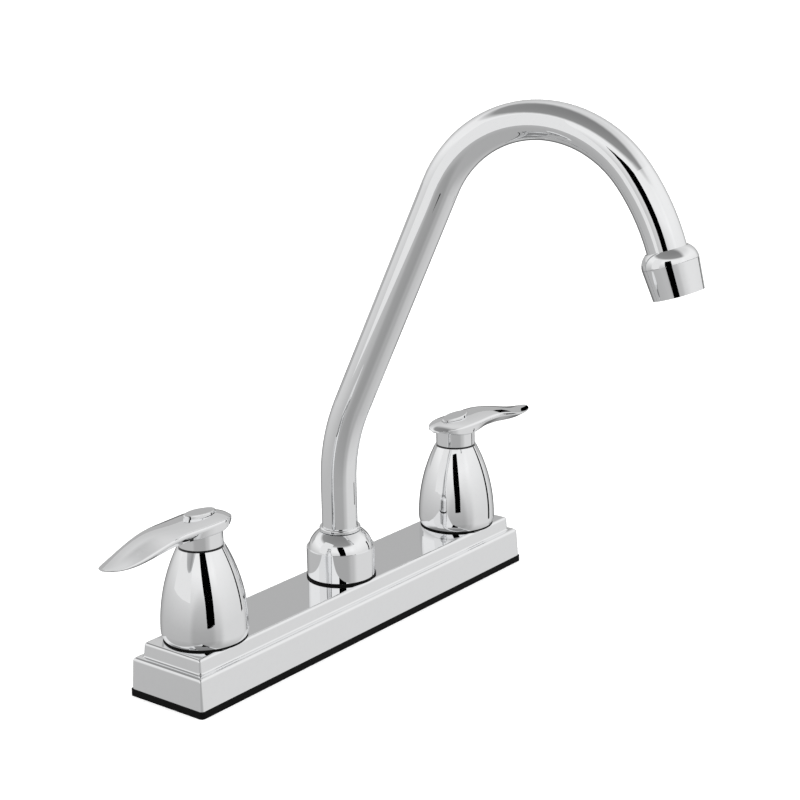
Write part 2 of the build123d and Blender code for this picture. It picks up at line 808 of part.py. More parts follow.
with BuildPart() as spout_orings:
    with BuildSketch(post_section):
        with Locations(
            (post_bore - oring_fit - oring_radius, ferrule_bottom + oring_pitch / 2),
            (post_bore - oring_fit - oring_radius, ferrule_bottom + oring_pitch * 1.5),
        ):
            Circle(oring_radius)
    revolve(axis=Axis.Z)
save(spout_orings, "spout_orings")

with BuildPart() as spout_trim_ring:
    with BuildSketch(post_section):
        with Locations((tube_radius + joint_gap / 2 + bead_width / 2, bead_bottom + bead_height / 2)):
            bead = Rectangle(bead_width, bead_height)
        fillet(bead.vertices().group_by(Axis.X)[-1], bead_height / 3)
    revolve(axis=Axis.Z)
save(spout_trim_ring, "spout_trim_ring")

# ---- Nozzle, on the axis of the tube's end ----

flow = drop % 1
nozzle_start = drop @ 1
nozzle_axis = Axis(nozzle_start, flow)
nozzle_section = Plane(
    origin=nozzle_start, x_dir=spout_plane.z_dir, z_dir=spout_plane.z_dir.cross(flow)
)
thread_end = shoulder_length + nozzle_thread
washer_end = thread_end + joint_gap + tip_washer
insert_end = washer_end + insert_height
housing_start = shoulder_length + joint_gap
housing_end = housing_start + housing_length


def nozzle_plane(distance):
    """The plane square to the flow, at a distance from the shoulder's start."""
    return Plane(origin=nozzle_start + flow * distance, x_dir=spout_plane.z_dir, z_dir=flow)


with BuildPart() as spout_tip_fitting:
    with BuildSketch(nozzle_section):
        with BuildLine():
            shoulder = JernArc((ridge_radius, shoulder_length), (0, -1), shoulder_curve,
                               -math.degrees(math.asin(shoulder_length / shoulder_curve)))
            Polyline(
                shoulder @ 1,
                (tube_radius + joint_gap / 2, 0),
                (tube_radius + joint_gap / 2, tip_insert),
                (nozzle_bore, tip_insert),
                (nozzle_bore, thread_end),
                (nozzle_thread_radius, thread_end),
                (nozzle_thread_radius, shoulder_length),
                (ridge_radius, shoulder_length),
            )
        make_face()
    revolve(axis=nozzle_axis)
save(spout_tip_fitting, "spout_tip_fitting")

with BuildPart() as aerator_housing:
    with BuildSketch(nozzle_section):
        with BuildLine():
            Polyline(
                (ridge_radius, housing_start),
                (housing_end_radius, housing_end),
                (housing_mouth, housing_end),
                (housing_mouth, housing_end - housing_lip),
                (nozzle_thread_radius + slide, housing_end - housing_lip),
                (nozzle_thread_radius + slide, housing_start),
                close=True,
            )
        make_face()
    revolve(axis=nozzle_axis)
save(aerator_housing, "aerator_housing")

with BuildPart() as aerator_washer:
    with BuildSketch(nozzle_plane(thread_end + joint_gap)):
        Circle(nozzle_thread_radius)
        Circle(nozzle_bore, mode=Mode.SUBTRACT)
    extrude(amount=tip_washer)
save(aerator_washer, "aerator_washer")

with BuildPart() as aerator_insert:
    with BuildSketch(nozzle_plane(washer_end)):
        Circle(nozzle_thread_radius - joint_gap)
    extrude(amount=insert_height)
    with BuildSketch(nozzle_plane(washer_end)):
        Circle(nozzle_thread_radius - joint_gap - insert_wall)
    extrude(amount=insert_height - insert_floor, mode=Mode.SUBTRACT)
    with BuildSketch(nozzle_plane(insert_end)):
        Circle(jet_radius)
        for ring, jets in jet_rings:
            with PolarLocations(ring, jets):
                Circle(jet_radius)
    extrude(amount=-insert_floor, mode=Mode.SUBTRACT)
save(aerator_insert, "aerator_insert")
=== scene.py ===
import math

import bpy
import numpy as np
from mathutils import Matrix, Vector


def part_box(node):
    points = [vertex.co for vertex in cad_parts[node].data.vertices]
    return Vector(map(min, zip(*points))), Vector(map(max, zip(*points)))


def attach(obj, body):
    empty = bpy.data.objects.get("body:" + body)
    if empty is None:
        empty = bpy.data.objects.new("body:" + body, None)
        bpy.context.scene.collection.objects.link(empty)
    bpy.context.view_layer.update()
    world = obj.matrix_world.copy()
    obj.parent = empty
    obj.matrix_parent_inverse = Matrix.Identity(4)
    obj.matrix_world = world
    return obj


# lengths are in metres, and turns that a user sets are in degrees
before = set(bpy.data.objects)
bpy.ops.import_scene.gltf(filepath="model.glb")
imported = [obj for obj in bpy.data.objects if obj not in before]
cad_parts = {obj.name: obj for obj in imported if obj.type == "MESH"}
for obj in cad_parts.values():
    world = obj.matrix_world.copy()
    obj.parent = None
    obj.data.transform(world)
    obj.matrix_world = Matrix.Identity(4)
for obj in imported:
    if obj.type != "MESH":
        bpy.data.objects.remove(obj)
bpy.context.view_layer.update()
print("frame loaded:", len(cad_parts), "CAD nodes")

scene = bpy.context.scene
scene.view_settings.view_transform = "Standard"
scene.view_settings.look = "None"


def addNode(tree, kind, place=(0, 0), **values):
    # place is where the node is drawn in the shader editor
    node = tree.nodes.new(kind)
    node.location = place
    for name, value in values.items():
        setattr(node, name, value)
    return node


def wire(tree, source, target):
    tree.links.new(source, target)


def mixColours(tree, share, first, second, place):
    # a Mix node of colours takes them at inputs 6 and 7 and gives their mix at output 2
    mix = addNode(tree, "ShaderNodeMix", place, data_type="RGBA")
    wire(tree, share, mix.inputs["Factor"])
    wire(tree, first, mix.inputs[6])
    wire(tree, second, mix.inputs[7])
    return mix.outputs[2]


def addRange(tree, value, span, place, **values):
    # maps a value's way over a span to 0 to 1, or to what its To sockets are given afterwards
    mapped = addNode(tree, "ShaderNodeMapRange", place, **values)
    mapped.inputs["From Min"].default_value = span[0]
    mapped.inputs["From Max"].default_value = span[1]
    wire(tree, value, mapped.inputs["Value"])
    return mapped


def newGroup(name, scales):
    # a shader node group with its own pattern scales, beside the inputs and the three outputs that
    # every finish uses
    group = bpy.data.node_groups.new(name, "ShaderNodeTree")
    white = (1, 1, 1, 1)
    inputs = [("Vector", "NodeSocketVector", (0, 0, 0))]
    inputs += [(label, "NodeSocketFloat", scale) for label, scale in scales.items()]
    inputs += [("Colour Light", "NodeSocketColor", white), ("Colour Dark", "NodeSocketColor", white)]
    inputs += [("Roughness Low", "NodeSocketFloat", 0.1), ("Roughness High", "NodeSocketFloat", 0.2)]
    for label, kind, value in inputs:
        socket = group.interface.new_socket(name=label, in_out="INPUT", socket_type=kind)
        socket.default_value = value
    outputs = {"Colour": "NodeSocketColor", "Roughness": "NodeSocketFloat", "Height": "NodeSocketFloat"}
    for label, kind in outputs.items():
        group.interface.new_socket(name=label, in_out="OUTPUT", socket_type=kind)
    entry = addNode(group, "NodeGroupInput", (-1100, 0))
    leave = addNode(group, "NodeGroupOutput", (500, 0))
    return group, entry, leave


def addNoise(group, vector, scale, detail, place):
    noise = addNode(group, "ShaderNodeTexNoise", place)
    noise.inputs["Detail"].default_value = detail
    wire(group, vector, noise.inputs["Vector"])
    wire(group, scale, noise.inputs["Scale"])
    return noise.outputs["Fac"]


noiseSpan = (0.3, 0.7)    # where nearly all of a noise lies


def finishGroup(group, entry, leave, tint, haze, height):
    # tint picks between the two colours, haze between the two roughnesses
    sources = entry.outputs
    colour = mixColours(group, tint, sources["Colour Light"], sources["Colour Dark"], (0, 200))
    spread = addRange(group, haze, noiseSpan, (0, -150))
    wire(group, sources["Roughness Low"], spread.inputs["To Min"])
    wire(group, sources["Roughness High"], spread.inputs["To Max"])
    wire(group, colour, leave.inputs["Colour"])
    wire(group, spread.outputs["Result"], leave.inputs["Roughness"])
    wire(group, height, leave.inputs["Height"])
    return group


def makePolishGroup():
    # plated and buffed metal: a slow ripple in its surface and a fine haze in its shine
    group, entry, leave = newGroup("polishMarks", {"Ripple Scale": 55.0, "Haze Scale": 380.0})
    vector = entry.outputs["Vector"]
    ripple = addNoise(group, vector, entry.outputs["Ripple Scale"], 1.0, (-600, 200))
    haze = addNoise(group, vector, entry.outputs["Haze Scale"], 4.0, (-600, -150))
    return finishGroup(group, entry, leave, haze, haze, ripple)


def makeSpeckleGroup():
    # moulded and fired pieces: a fine even grain, and slow clouds where the melt or glaze flowed
    group, entry, leave = newGroup("mouldSpeckle", {"Grain Scale": 2500.0, "Cloud Scale": 120.0})
    vector = entry.outputs["Vector"]
    grain = addNoise(group, vector, entry.outputs["Grain Scale"], 3.0, (-600, 200))
    clouds = addNoise(group, vector, entry.outputs["Cloud Scale"], 2.0, (-600, -150))
    return finishGroup(group, entry, leave, clouds, grain, grain)


def makeTurningGroup():
    # lathe work: rings are a noise of (distance from the axis, height along it), with tarnish over
    # them; the distance is the length of (x, y, 0)
    group, entry, leave = newGroup("turningMarks", {"Ring Scale": 2200.0, "Tarnish Scale": 160.0})
    vector = entry.outputs["Vector"]
    split = addNode(group, "ShaderNodeSeparateXYZ", (-950, 250))
    wire(group, vector, split.inputs["Vector"])
    flat = addNode(group, "ShaderNodeCombineXYZ", (-800, 400))
    wire(group, split.outputs["X"], flat.inputs["X"])
    wire(group, split.outputs["Y"], flat.inputs["Y"])
    radius = addNode(group, "ShaderNodeVectorMath", (-650, 400), operation="LENGTH")
    wire(group, flat.outputs["Vector"], radius.inputs[0])
    unrolled = addNode(group, "ShaderNodeCombineXYZ", (-500, 300))
    wire(group, radius.outputs["Value"], unrolled.inputs["X"])
    wire(group, split.outputs["Z"], unrolled.inputs["Z"])
    rings = addNoise(group, unrolled.outputs["Vector"], entry.outputs["Ring Scale"], 2.0, (-350, 300))
    tarnish = addNoise(group, vector, entry.outputs["Tarnish Scale"], 3.0, (-600, -150))
    return finishGroup(group, entry, leave, tarnish, rings, rings)


polishMarks = makePolishGroup()
mouldSpeckle = makeSpeckleGroup()
turningMarks = makeTurningGroup()
print("three groups of surface marks made")


def newMaterial(name, values):
    # a material whose Principled shader has these values, and that shader
    material = bpy.data.materials.new(name)
    material.use_nodes = True
    shader = material.node_tree.nodes["Principled BSDF"]
    for label, value in values.items():
        shader.inputs[label].default_value = value
    return material, shader


def makeFinish(name, group, look, centre=(0, 0, 0), turn=(0, 0, 0)):
    # one Principled shader fed by a group, whose pattern a Mapping node centres and turns
    material, shader = newMaterial(name, look["shader"])
    tree = material.node_tree
    coords = addNode(tree, "ShaderNodeTexCoord", (-1100, 0))
    mapping = addNode(tree, "ShaderNodeMapping", (-900, 0), vector_type="TEXTURE")
    mapping.inputs["Location"].default_value = centre
    mapping.inputs["Rotation"].default_value = turn
    marks = addNode(tree, "ShaderNodeGroup", (-650, 0), node_tree=group)
    for label, value in look["marks"].items():
        marks.inputs[label].default_value = value
    bump = addNode(tree, "ShaderNodeBump", (-300, -200))
    bump.inputs["Distance"].default_value = look["bumpDepth"]
    wire(tree, coords.outputs["Object"], mapping.inputs["Vector"])
    wire(tree, mapping.outputs["Vector"], marks.inputs["Vector"])
    wire(tree, marks.outputs["Colour"], shader.inputs["Base Color"])
    wire(tree, marks.outputs["Roughness"], shader.inputs["Roughness"])
    wire(tree, marks.outputs["Height"], bump.inputs["Height"])
    wire(tree, bump.outputs["Normal"], shader.inputs["Normal"])
    return material


# the outside: cast pieces are buffed by hand and ripple a little, drawn and turned ones hardly do
castChromeLook = {
    "shader": {"Metallic": 1.0},
    "marks": {"Ripple Scale": 42.0, "Haze Scale": 420.0,
              "Colour Light": (0.91, 0.915, 0.92, 1), "Colour Dark": (0.88, 0.885, 0.895, 1),
              "Roughness Low": 0.010, "Roughness High": 0.032},
    "bumpDepth": 0.000004,
}
drawnChromeLook = {
    "shader": {"Metallic": 1.0},
    "marks": {"Ripple Scale": 90.0, "Haze Scale": 520.0,
              "Colour Light": (0.91, 0.915, 0.92, 1), "Colour Dark": (0.885, 0.89, 0.90, 1),
              "Roughness Low": 0.010, "Roughness High": 0.028},
    "bumpDepth": 0.0000015,
}

# seals and mouldings
blackRubberLook = {
    "shader": {"Metallic": 0.0, "Specular IOR Level": 0.08},
    "marks": {"Grain Scale": 1900.0, "Cloud Scale": 90.0,
              "Colour Light": (0.004, 0.004, 0.004, 1), "Colour Dark": (0.002, 0.002, 0.002, 1),
              "Roughness Low": 0.55, "Roughness High": 0.75},
    "bumpDepth": 0.00004,
}
# real black plastic, kept this near black so that the glide ring under each lever also paints the shade
# of the gap there as a dark line
blackPlasticLook = {
    "shader": {"Metallic": 0.0, "Specular IOR Level": 0.35},
    "marks": {"Grain Scale": 3200.0, "Cloud Scale": 140.0,
              "Colour Light": (0.010, 0.010, 0.011, 1), "Colour Dark": (0.005, 0.005, 0.006, 1),
              "Roughness Low": 0.30, "Roughness High": 0.45},
    "bumpDepth": 0.00002,
}
whitePlasticLook = {
    "shader": {"Metallic": 0.0, "Specular IOR Level": 0.5},
    "marks": {"Grain Scale": 2600.0, "Cloud Scale": 180.0,
              "Colour Light": (0.86, 0.86, 0.84, 1), "Colour Dark": (0.79, 0.79, 0.77, 1),
              "Roughness Low": 0.32, "Roughness High": 0.46},
    "bumpDepth": 0.00002,
}

# the valves' discs, and the bare brass and steel
ceramicLook = {
    "shader": {"Metallic": 0.0, "Specular IOR Level": 0.6},
    "marks": {"Grain Scale": 4200.0, "Cloud Scale": 260.0,
              "Colour Light": (0.90, 0.88, 0.83, 1), "Colour Dark": (0.84, 0.82, 0.77, 1),
              "Roughness Low": 0.12, "Roughness High": 0.24},
    "bumpDepth": 0.000006,
}
brassLook = {
    "shader": {"Metallic": 1.0},
    "marks": {"Ring Scale": 2400.0, "Tarnish Scale": 150.0,
              "Colour Light": (0.80, 0.58, 0.25, 1), "Colour Dark": (0.60, 0.41, 0.17, 1),
              "Roughness Low": 0.24, "Roughness High": 0.40},
    "bumpDepth": 0.00003,
}
steelLook = {
    "shader": {"Metallic": 1.0},
    "marks": {"Ring Scale": 2800.0, "Tarnish Scale": 220.0,
              "Colour Light": (0.66, 0.67, 0.68, 1), "Colour Dark": (0.50, 0.51, 0.53, 1),
              "Roughness Low": 0.22, "Roughness High": 0.36},
    "bumpDepth": 0.00002,
}


def middleX(name):
    low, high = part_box(name)
    return float(low[0] + high[0]) / 2


# x of the upright axes that pieces are turned about, all of them at y = 0
axisX = {"hot": middleX("hot_lock_nut"), "cold": middleX("cold_lock_nut"), "spout": 0.0}

castPieces = ("base_cover", "hot_bell", "cold_bell",
              "hot_lever", "cold_lever", "hot_lever_cap", "cold_lever_cap")
castChrome = makeFinish("castChrome", polishMarks, castChromeLook)
drawnChrome = makeFinish("drawnChrome", polishMarks, drawnChromeLook)
blackRubber = makeFinish("blackRubber", mouldSpeckle, blackRubberLook)
plainFinishes = {
    "rubber": blackRubber,
    "black_plastic": makeFinish("blackPlastic", mouldSpeckle, blackPlasticLook),
    "white_plastic": makeFinish("whitePlastic", mouldSpeckle, whitePlasticLook),
    "ceramic": makeFinish("firedCeramic", mouldSpeckle, ceramicLook),
}
turnedFinishes = {
    (slot, side): makeFinish(slot + "Turned" + side.capitalize(), turningMarks, look, centre=(x, 0, 0))
    for slot, look in (("brass", brassLook), ("steel", steelLook)) for side, x in axisX.items()}
crossTubeFinish = makeFinish("brassTurnedAcross", turningMarks, brassLook, turn=(0, math.pi / 2, 0))


def dressNode(name, node):
    # the finish follows from the CAD's material and, on turned pieces, from the axis they turn about
    slot = node.data.materials[0].name.split(".")[0]
    side = name.split("_")[0]
    if slot == "chrome":
        finish = castChrome if name in castPieces else drawnChrome
    elif name.endswith("cross_tube"):
        finish = crossTubeFinish
    elif slot in plainFinishes:
        finish = plainFinishes[slot]
    else:
        finish = turnedFinishes[(slot, side if side in axisX else "spout")]
    node.data.materials[0] = finish


for name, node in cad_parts.items():
    dressNode(name, node)
print("finishes placed on", len(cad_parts), "CAD nodes")


def nodePoints(name):
    # a CAD node's corners as one array
    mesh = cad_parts[name].data
    points = np.empty(len(mesh.vertices) * 3)
    mesh.vertices.foreach_get("co", points)
    return points.reshape(-1, 3)


def gridQuads(rows, columns, wrapRows=False, wrapColumns=False):
    # the quads between neighbouring points of a grid, which may close on itself either way
    row, column = np.meshgrid(np.arange(rows if wrapRows else rows - 1),
                              np.arange(columns if wrapColumns else columns - 1), indexing="ij")
    nextRow = (row + 1) % rows
    nextColumn = (column + 1) % columns
    corners = ((row, column), (row, nextColumn), (nextRow, nextColumn), (nextRow, column))
    quads = np.stack([atRow * columns + atColumn for atRow, atColumn in corners], axis=-1)
    return quads.reshape(-1, 4)


def newObject(name, points, faces, material):
    # points and faces into a mesh of one material, and its object into the scene
    mesh = bpy.data.meshes.new(name)
    mesh.from_pydata(points.reshape(-1, 3).tolist(), [], faces)
    mesh.materials.append(material)
    thing = bpy.data.objects.new(name, mesh)
    scene.collection.objects.link(thing)
    return thing


sharpAngle = math.radians(35.0)    # edges that turn more than this stay crisp


def makePiece(name, points, faces, finish, body):
    # a piece of the faucet, which rides on one of its bodies
    piece = newObject(name, points, faces, finish)
    piece.data.shade_smooth()
    piece.data.set_sharp_from_angle(angle=sharpAngle)
    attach(piece, body)


def squareAxes(axis):
    # two directions square to an axis and to each other, so that first x second = axis
    first = np.cross((0.0, 1.0, 0.0), axis)
    first = first / np.linalg.norm(first)
    return first, np.cross(axis, first)


ringSteps = 96    # points round a ring


def ringPoints(centre, axis, profile):
    # a ring: centre + axis x along + outward(angle) x radius, for each profile point and angle
    first, second = squareAxes(axis)
    angle = np.linspace(0, 2 * math.pi, ringSteps, endpoint=False)[:, None, None]
    radius, along = np.array(profile).T[..., None]
    return centre + axis * along + (first * np.cos(angle) + second * np.sin(angle)) * radius


def makeRing(name, centre, axis, profile, finish, body):
    # the profile's (radius, along) points go round its section anticlockwise
    points = ringPoints(np.array(centre), np.array(axis, float), profile)
    faces = gridQuads(ringSteps, len(profile), True, True)[:, ::-1].tolist()
    makePiece(name, points, faces, finish, body)


# black rubber rings under the centre hub and under each bell: painted shade, a fine dark line that
# stands in for the shadowed gap at each foot
footShadeRings = {
    "hub": {
        "inside": 0.01782,     # radius, just clear of the hub nut
        "outside": 0.01820,
        "height": 0.0011,
        "lean": 0.0,           # how far the inner wall leans out at the top
        "soft": 0.0002,        # radius of the upper outer corner
    },
    "bell": {"inside": 0.01980, "outside": 0.02045, "height": 0.0007, "lean": 0.0003, "soft": 0.00015},
    "cornerPoints": 5,
}


def shadeRingProfile(sizes, floor, cornerPoints):
    # (radius, height) round the ring's section, anticlockwise, its upper outer corner an arc
    inside, outside, soft = sizes["inside"], sizes["outside"], sizes["soft"]
    top = floor + sizes["height"]
    turn = np.linspace(0, math.pi / 2, cornerPoints)
    corner = [(outside - soft + soft * math.cos(t), top - soft + soft * math.sin(t)) for t in turn]
    return [(inside, floor), (outside, floor)] + corner + [(inside + sizes["lean"], top)]


def makeFootShadeRings(rings):
    coverTop = float(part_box("hot_bell")[0][2])
    for name, axis, kind in (("hub_foot_shade_ring", "spout", "hub"), ("hot_foot_shade_ring", "hot", "bell"),
                             ("cold_foot_shade_ring", "cold", "bell")):
        profile = shadeRingProfile(rings[kind], coverTop, rings["cornerPoints"])
        centre = (axisX[axis], 0, 0)
        # the rings take the black rubber finish so that they paint the shade in the gap at each foot
        makeRing(name, centre, (0, 0, 1), profile, blackRubber, "faucet_body")
    print("foot rings placed at", round(coverTop * 1000, 2), "mm")


makeFootShadeRings(footShadeRings)

shankThread = {
    "root": 0.01032,         # radius, just inside the shank
    "crest": 0.01066,
    "pitch": 0.001814,       # half inch pipe thread
    "footHalf": 0.00068,     # half of the ridge's thickness at its foot
    "crestHalf": 0.00024,
    "swellTurns": 0.5,       # turns over which the ridge grows at either end
    "leastSwell": 0.06,      # its size at the very end, over its full size
    "stepsPerTurn": 48,
    "deckGap": 0.0008,       # bare shank under the gasket and over the deck washer
    "nutGap": 0.0031,        # under the lock nut
    "endGap": 0.0015,        # and over the shank's end
}


def threadRuns(side, sizes):
    # (top, bottom) of the thread where the shank shows: through the deck, and below the lock nut
    seat = float(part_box("base_gasket")[0][2])
    washerTop = float(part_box(side + "_deck_washer")[1][2])
    nutFoot = float(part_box(side + "_lock_nut")[0][2])
    shankEnd = float(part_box(side + "_valve_body")[0][2])
    return {
        "upper": (seat - sizes["deckGap"], washerTop + sizes["deckGap"]),
        "lower": (nutFoot - sizes["nutGap"], shankEnd + sizes["endGap"]),
    }


def threadPoints(x, top, bottom, sizes):
    # a ridge on a helix: height = top - pitch x turns, its section swelling from nothing at both ends
    turns = (top - bottom) / sizes["pitch"]
    steps = int(turns * sizes["stepsPerTurn"]) + 1
    angle = np.linspace(0, turns * 2 * math.pi, steps)[:, None]
    swellAngle = 2 * math.pi * sizes["swellTurns"]
    swell = np.clip(np.minimum(angle, angle[-1] - angle) / swellAngle, sizes["leastSwell"], 1.0)
    depth = np.array((0.0, 1.0, 1.0, 0.0)) * (sizes["crest"] - sizes["root"])
    foot, crest = sizes["footHalf"], sizes["crestHalf"]
    half = np.array((foot, crest, -crest, -foot))
    radius = sizes["root"] + depth * swell
    height = top - sizes["pitch"] * angle / (2 * math.pi) + half * swell
    return np.stack((x + radius * np.cos(angle), radius * np.sin(angle), height), axis=-1)


def makeThreads(side, sizes):
    finish = turnedFinishes[("brass", side)]
    for run, (top, bottom) in threadRuns(side, sizes).items():
        points = threadPoints(axisX[side], top, bottom, sizes)
        steps, corners = points.shape[:2]
        firstCap = list(range(corners))[::-1]
        lastCap = list(range((steps - 1) * corners, steps * corners))
        faces = gridQuads(steps, corners, False, True).tolist() + [firstCap, lastCap]
        makePiece(side + "_thread_" + run, points, faces, finish, "faucet_body")


for side in ("hot", "cold"):
    makeThreads(side, shankThread)
print("shank threads wound")

outletScreen = {
    "mouth": 0.00912,          # radius that the wires reach
    "gap": 0.00095,            # from wire to wire
    "wireRadius": 0.00012,
    "rimInside": 0.0087,       # radius of the hole in the rim
    "depth": 0.00035,          # how far the middle of the weave lies below the insert
    "steps": 72,               # points along a wire
    "sides": 6,                # and round it
}


def nozzleAxis():
    # the washer is flat, so the direction in which its corners spread least is the way the water
    # runs: the last of the three that a singular value decomposition gives
    points = nodePoints("aerator_washer")
    centre = points.mean(axis=0)
    ways = np.linalg.svd(points - centre, full_matrices=False)[2]
    axis = ways[-1]
    return centre, axis if axis[2] < 0 else -axis


def weavePoints(centre, axis, sizes, layer):
    # wire k runs at offset = gap x k, as long as the mouth is there, and rises and falls by
    # wireRadius x cos(pi x (distance / gap + k + layer)) over and under the wires it crosses;
    # the wires of layer 1 run across those of layer 0
    first, second = squareAxes(axis)
    if layer == 1:
        first, second = second, -first
    gap, thick = sizes["gap"], sizes["wireRadius"]
    count = int(sizes["mouth"] / gap)
    wires = np.arange(-count, count + 1)[:, None]
    offset = wires * gap
    reach = np.sqrt(sizes["mouth"] ** 2 - offset ** 2)
    distance = np.linspace(-1, 1, sizes["steps"])[None, :] * reach
    lift = thick * np.cos(math.pi * (distance / gap + wires + layer))
    turn = np.linspace(0, 2 * math.pi, sizes["sides"], endpoint=False)
    ahead = distance[..., None, None] * first
    aside = (offset[..., None] + thick * np.cos(turn))[..., None] * second
    below = (lift[..., None] + thick * np.sin(turn))[..., None] * axis
    return centre + ahead + aside + below


def makeScreen(sizes):
    # both layers of wires in one piece, each wire a closed tube, and a flat rim that holds them
    centre, axis = nozzleAxis()
    insertEnd = (nodePoints("aerator_insert") @ axis).max()
    middle = centre + axis * (insertEnd - centre @ axis + sizes["depth"])
    steel = turnedFinishes[("steel", "spout")]
    points, faces, start = [], [], 0
    for layer in (0, 1):
        weave = weavePoints(middle, axis, sizes, layer)
        wires, steps, sides = weave.shape[:3]
        quads = gridQuads(steps, sides, False, True)
        shifts = start + np.arange(wires)[:, None, None] * steps * sides
        ends = np.arange(sides)
        faces += (quads[None] + shifts).reshape(-1, 4).tolist()
        faces += (ends[::-1] + shifts[:, 0]).tolist()
        faces += (ends + (steps - 1) * sides + shifts[:, 0]).tolist()
        points.append(weave.reshape(-1, 3))
        start += wires * steps * sides
    makePiece("outlet_screen", np.concatenate(points), faces, steel, "spout")
    half = 2 * sizes["wireRadius"]    # the rim is as thick as two wires that cross
    inside, outside = sizes["rimInside"], sizes["mouth"]
    rim = [(inside, half), (inside, -half), (outside, -half), (outside, half)]
    makeRing("outlet_screen_rim", middle, axis, rim, steel, "spout")
    print("screen woven", round(sizes["depth"] * 1000, 2), "mm below the insert")


makeScreen(outletScreen)

floorLook = {
    "half": 30.0,    # half of its side
    "shader": {
        "Base Color": (0.93, 0.93, 0.93, 1), "Roughness": 0.9, "Specular IOR Level": 0.0,
        "Emission Color": (1, 1, 1, 1),
        "Emission Strength": 0.30,    # keeps the contact shadow faint
    },
}


def makeFloor(look):
    corners = np.array(((-1, -1, 0), (1, -1, 0), (1, 1, 0), (-1, 1, 0))) * look["half"]
    paleFloor = newMaterial("paleFloor", look["shader"])[0]
    floor = newObject("floor", corners, [(0, 1, 2, 3)], paleFloor)
    floor.visible_glossy = False


makeFloor(floorLook)
print("floor laid")

cameraSizes = {
    "azimuth": 51.51, "elevation": 15.18, "roll": -1.197,
    "distance": 0.93353,                         # to the plane through the origin that it faces
    "aimRight": 0.03016, "aimUp": 0.11699,       # where it aims in that plane
    "lens": 79.486, "sensor": 36.0,              # in mm
    "farthest": 100.0,
}

# two level directions that the room, its cards and the camera are placed by
cameraTurn = math.radians(cameraSizes["azimuth"])
towardsCamera = Vector((-math.sin(cameraTurn), -math.cos(cameraTurn), 0))
cameraRight = Vector((math.cos(cameraTurn), -math.sin(cameraTurn), 0))


def roomWay(towards, right, up):
    # the direction that goes so far towards the camera, to the camera's right and up
    return (towardsCamera * towards + cameraRight * right + Vector((0, 0, up))).normalized()


def levelWay(turn):
    # the level direction so many degrees from the camera's own, turned to its right
    return roomWay(math.cos(math.radians(turn)), math.sin(math.radians(turn)), 0)


roomLook = {
    # (height of a direction, which is its sine, brightness there) on the left
    "leftBands": ((-1.0, 0.43), (-0.64, 0.43), (-0.45, 0.47), (-0.28, 0.53), (-0.06, 0.66),
                  (0.12, 0.78), (0.34, 0.93), (0.58, 0.90), (0.70, 0.30), (1.0, 0.24)),
    # and the same on the right and behind
    "rightBands": ((-1.0, 0.42), (-0.64, 0.58), (-0.45, 0.65), (-0.26, 0.65), (0.0, 0.72),
                   (0.12, 0.76), (0.34, 0.82), (0.58, 0.84), (0.70, 0.80), (1.0, 0.68)),
    "rightTurn": 128.0,           # middle of the right side, in degrees from the camera's direction
    "rightSpan": (0.05, 0.35),    # cosines from there between which the left gives way to the right
    # what each shade adds to the brightness, round the way (towards the camera, right, up), and the
    # cosines from that way where it begins and where it is whole
    "shades": {
        "rightPanel": {"way": (0, 1, 0), "gain": 0.12, "span": (0.45, 0.85)},
        "roomBehind": {"way": (-1, 0, 0), "gain": -0.25, "span": (0.50, 0.90)},
        "tableInFront": {"way": (1, 0, -0.4), "gain": -0.20, "span": (0.82, 0.94)},
        # the dark middle of the room behind draws the fine outlines
        "middleBehind": {"way": (-1, 0, -0.27), "gain": -0.68, "span": (0.82, 0.94)},
    },
    "fill": 1.22,                 # what lights the matt surfaces and the floor
}


def addFade(tree, view, way, span, ends, row):
    # from ends[0] to ends[1] in a smooth step, as the cosine between the view and a way crosses the span
    cosine = addNode(tree, "ShaderNodeVectorMath", (-1000, row), operation="DOT_PRODUCT")
    cosine.inputs[1].default_value = way
    wire(tree, view, cosine.inputs[0])
    fade = addRange(tree, cosine.outputs["Value"], span, (-800, row), interpolation_type="SMOOTHSTEP")
    fade.inputs["To Min"].default_value = ends[0]
    fade.inputs["To Max"].default_value = ends[1]
    return fade.outputs["Result"]


def addBands(tree, share, bands, row):
    # a colour ramp through the bands' greys; a height of -1 to 1 is a share of 0 to 1
    ramp = addNode(tree, "ShaderNodeValToRGB", (-600, row))
    stops = ramp.color_ramp.elements
    for band in bands[2:]:    # a new ramp has two stops
        stops.new((band[0] + 1) / 2)
    for stop, (height, grey) in zip(stops, bands):
        stop.position = (height + 1) / 2
        stop.color = (grey, grey, grey, 1)
    wire(tree, share, ramp.inputs["Fac"])
    return ramp.outputs["Color"]


